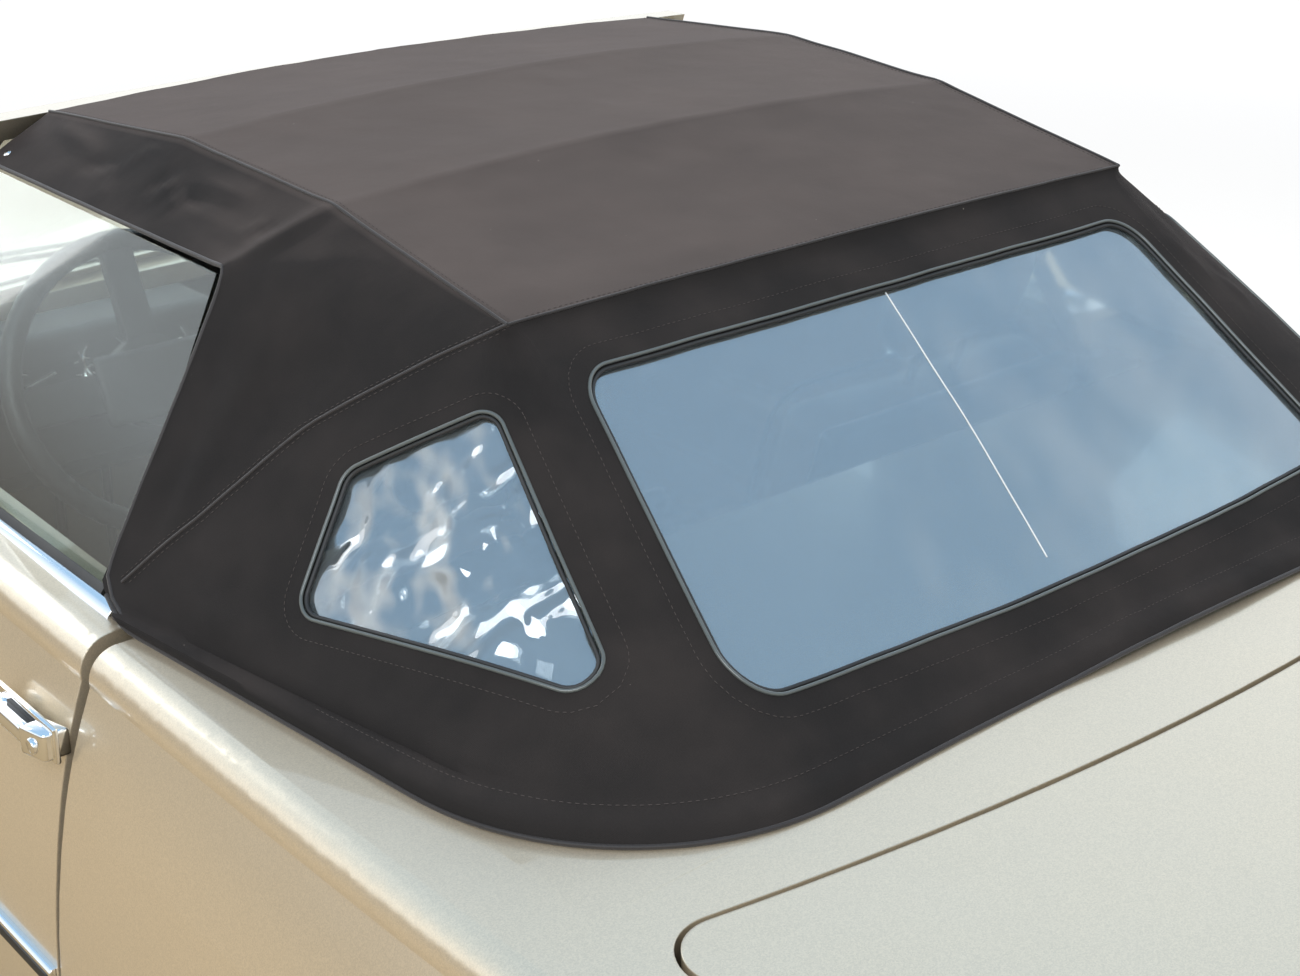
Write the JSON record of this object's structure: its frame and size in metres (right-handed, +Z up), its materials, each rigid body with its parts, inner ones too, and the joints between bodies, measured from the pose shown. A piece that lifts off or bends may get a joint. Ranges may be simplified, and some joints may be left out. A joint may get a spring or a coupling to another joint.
{
  "type": "two-seat convertible car with a folding cloth roof",
  "caption": "Two-seat convertible car on its wheels, cloth roof up, with opening doors, bonnet and boot lid, steered front wheels and a steering wheel that turns with them.",
  "frame": {"origin": "centre of the whole car's box on the floor that the tyres stand on", "axes": "+Y towards the tail, +X towards the car's left side, +Z up"},
  "size_m": [1.93, 4.39, 1.305],
  "materials": {
    "paint": "champagne metallic, clear coat",
    "bright_trim": "polished",
    "lamp_lens": "ribbed clear lens",
    "tail_lens": "ribbed red lens",
    "underbody": "satin underbody coating",
    "window_glass": "clear safety glass",
    "roof_fabric": "woven dark brown roof cloth",
    "clear_film": "flexible clear film",
    "black_steel": "satin black",
    "cast_steel": "rough cast",
    "bare_steel": "dull",
    "seat_leather": "tan, grained",
    "black_plastic": "grained",
    "tyre": "matt",
    "rim_metal": "satin"
  },
  "bodies": {
    "body": {"front_wing_left": "paint", "front_wing_right": "paint", "nose_panel": "paint", "grille": "bright_trim", "headlamps": "lamp_lens", "tail_lamps": "tail_lens", "rear_body": "paint", "rear_floor": "underbody", "axle_tub": "underbody", "rear_wheel_housings": "underbody", "rear_bulkheads": "underbody", "roof_well_lid": "paint", "floor_pan": "underbody", "scuttle": "paint", "windscreen_frame": "paint", "windscreen_glass": "window_glass", "roof_cloth": "roof_fabric", "rear_window": "clear_film", "quarter_windows": "clear_film", "roof_frame": "black_steel", "front_bumper": "bright_trim", "rear_bumper": "bright_trim", "front_axle": "black_steel", "rear_axle": "black_steel", "engine": "cast_steel", "exhaust": "bare_steel", "seat_left": "seat_leather", "seat_right": "seat_leather", "dashboard": "black_plastic", "centre_console": "black_plastic"},
    "bonnet": {"bonnet": "paint"},
    "boot_lid": {"boot_lid": "paint"},
    "door_left": {"door_left": "paint", "door_glass_left": "window_glass", "door_fittings_left": "bright_trim"},
    "door_right": {"door_right": "paint", "door_glass_right": "window_glass", "door_fittings_right": "bright_trim"},
    "steering_wheel": {"steering_wheel": "black_plastic"},
    "knuckle_left": {"knuckle_left": "cast_steel"},
    "knuckle_right": {"knuckle_right": "cast_steel"},
    "wheel_front_left": {"tyre_front_left": "tyre", "rim_front_left": "rim_metal"},
    "wheel_front_right": {"tyre_front_right": "tyre", "rim_front_right": "rim_metal"},
    "wheel_rear_left": {"tyre_rear_left": "tyre", "rim_rear_left": "rim_metal"},
    "wheel_rear_right": {"tyre_rear_right": "tyre", "rim_rear_right": "rim_metal"}
  },
  "joints": [
    {"name": "bonnet_hinge", "type": "hinge", "parent": "body", "child": "bonnet", "pos_m": [0, -0.741, 0.926], "axis": [-1, 0, 0], "range_deg": [0, 50]},
    {"name": "boot_lid_hinge", "type": "hinge", "parent": "body", "child": "boot_lid", "pos_m": [0, 1.131, 0.905], "axis": [1, 0, 0], "range_deg": [0, 75]},
    {"name": "door_left_hinge", "type": "hinge", "parent": "body", "child": "door_left", "pos_m": [0.895, -0.684, 0.56], "axis": [0, 0, -1], "range_deg": [0, 65]},
    {"name": "door_right_hinge", "type": "hinge", "parent": "body", "child": "door_right", "pos_m": [-0.895, -0.684, 0.56], "axis": [0, 0, 1], "range_deg": [0, 65]},
    {"name": "steer_left", "type": "hinge", "parent": "body", "child": "knuckle_left", "pos_m": [0.68, -1.395, 0.321], "axis": [0, 0, 1], "range_deg": [-35, 35]},
    {"name": "steer_right", "type": "hinge", "parent": "body", "child": "knuckle_right", "pos_m": [-0.68, -1.395, 0.321], "axis": [0, 0, 1], "range_deg": [-35, 35]},
    {"name": "steering_wheel_turn", "type": "hinge", "parent": "body", "child": "steering_wheel", "pos_m": [0.37, -0.285, 0.868], "axis": [0, 0.9063, 0.4226], "range_deg": [-510, 510]},
    {"name": "spin_front_left", "type": "hinge", "parent": "knuckle_left", "child": "wheel_front_left", "pos_m": [0.725, -1.395, 0.321], "axis": [1, 0, 0], "continuous": true},
    {"name": "spin_front_right", "type": "hinge", "parent": "knuckle_right", "child": "wheel_front_right", "pos_m": [-0.725, -1.395, 0.321], "axis": [1, 0, 0], "continuous": true},
    {"name": "spin_rear_left", "type": "hinge", "parent": "body", "child": "wheel_rear_left", "pos_m": [0.725, 1.065, 0.321], "axis": [1, 0, 0], "continuous": true},
    {"name": "spin_rear_right", "type": "hinge", "parent": "body", "child": "wheel_rear_right", "pos_m": [-0.725, 1.065, 0.321], "axis": [1, 0, 0], "continuous": true}
  ],
  "couplings": [
    {"joint": "steer_right", "follows": "steer_left", "ratio": 1},
    {"joint": "steering_wheel_turn", "follows": "steer_left", "ratio": 14.5}
  ]
}
